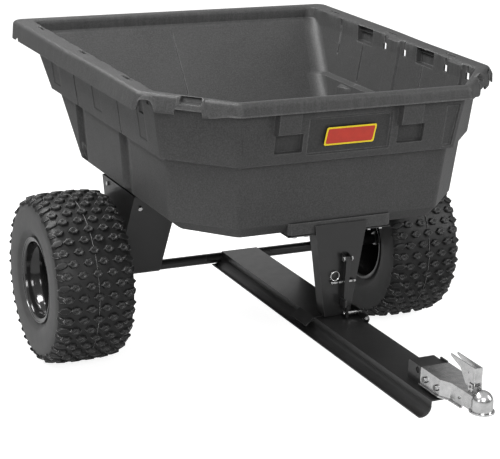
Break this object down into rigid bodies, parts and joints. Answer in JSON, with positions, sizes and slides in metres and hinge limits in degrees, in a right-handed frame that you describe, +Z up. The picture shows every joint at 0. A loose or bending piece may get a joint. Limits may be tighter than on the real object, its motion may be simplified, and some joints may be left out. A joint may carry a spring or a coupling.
{
  "type": "tow-behind dump cart",
  "caption": "Two-wheeled tow-behind dump cart: deep poly tub with a rolled rim, knobby tyres, pressed steel tongue and ball coupler.",
  "frame": {"origin": "on the ground, under the middle of the cart's length and width", "axes": "+Z up, the tongue points along -Y, +X across the cart along the axle"},
  "size_m": [1.462, 2.122, 1.0239],
  "materials": {
    "poly_tub": "pebbled moulded polyethylene",
    "label": "gloss label",
    "black_paint": "gloss black powder coat",
    "rim_paint": "gloss black",
    "tyre_rubber": "matte rubber",
    "valve_rubber": "matte",
    "bush_plastic": "natural nylon",
    "bare_steel": "drawn steel",
    "zinc": "bright zinc plate"
  },
  "bodies": {
    "chassis": {"tongue": "black_paint", "pivot_sleeve": "black_paint", "axle_shaft": "bare_steel", "axle_washers": "bare_steel", "cotter_pins": "bare_steel", "latch_saddle": "black_paint", "saddle_bolt": "zinc", "striker_rod": "zinc", "coupler_mount": "black_paint", "coupler_body": "zinc", "coupler_bolts": "zinc", "coupler_nuts": "zinc", "handle_pin": "zinc", "clamp_pin": "zinc", "chain_tab": "black_paint"},
    "tub_body": {"tub": "poly_tub", "badge": "label", "bracket_left": "black_paint", "bracket_right": "black_paint", "axle_tube_left": "black_paint", "axle_tube_right": "black_paint", "deck_bolts": "zinc", "deck_nuts": "zinc", "bracket_face_bolts": "zinc", "bracket_face_nuts": "zinc", "front_post": "black_paint", "post_mount_plate": "black_paint", "post_bolts": "zinc", "latch_clevis": "black_paint", "latch_pivot_bolt": "zinc", "pin_guides": "black_paint"},
    "wheel_left": {"tyre_left": "tyre_rubber", "rim_left": "rim_paint", "wheel_disc_left": "rim_paint", "hub_left": "rim_paint", "bushings_left": "bush_plastic", "valve_left": "valve_rubber"},
    "wheel_right": {"tyre_right": "tyre_rubber", "rim_right": "rim_paint", "wheel_disc_right": "rim_paint", "hub_right": "rim_paint", "bushings_right": "bush_plastic", "valve_right": "valve_rubber"},
    "lever": {"latch_lever": "black_paint"},
    "pin": {"lock_pin": "zinc"},
    "bail": {"pin_bail": "zinc"},
    "handle": {"coupler_handle": "zinc"},
    "clamp": {"ball_clamp": "zinc"}
  },
  "joints": [
    {"name": "tub_tip", "type": "hinge", "parent": "chassis", "child": "tub_body", "pos_m": [0, 0.473, 0.2794], "axis": [-1, 0, 0], "range_deg": [0, 66]},
    {"name": "wheel_left_spin", "type": "hinge", "parent": "chassis", "child": "wheel_left", "pos_m": [0, 0.473, 0.2794], "axis": [1, 0, 0], "continuous": true},
    {"name": "wheel_right_spin", "type": "hinge", "parent": "chassis", "child": "wheel_right", "pos_m": [0, 0.473, 0.2794], "axis": [1, 0, 0], "continuous": true},
    {"name": "latch_swing", "type": "hinge", "parent": "tub_body", "child": "lever", "pos_m": [0, -0.257, 0.497], "axis": [-1, 0, 0], "range_deg": [0, 35], "stiffness_Nm_per_rad": 0.15, "springref_deg": -34.38},
    {"name": "lock_pin_pull", "type": "slide", "parent": "tub_body", "child": "pin", "axis": [-1, 0, 0], "range_m": [0, 0.075]},
    {"name": "pin_bail_turn", "type": "hinge", "parent": "pin", "child": "bail", "pos_m": [-0.0185, -0.2457, 0.42], "axis": [1, 0, 0], "range_deg": [0, 100]},
    {"name": "coupler_handle_lift", "type": "hinge", "parent": "chassis", "child": "handle", "pos_m": [0, -0.989, 0.38], "axis": [1, 0, 0], "range_deg": [0, 50]},
    {"name": "ball_clamp_turn", "type": "hinge", "parent": "chassis", "child": "clamp", "pos_m": [0, -0.959, 0.338], "axis": [1, 0, 0], "range_deg": [0, 25]}
  ],
  "couplings": [
    {"joint": "ball_clamp_turn", "follows": "coupler_handle_lift", "ratio": 0.5}
  ]
}
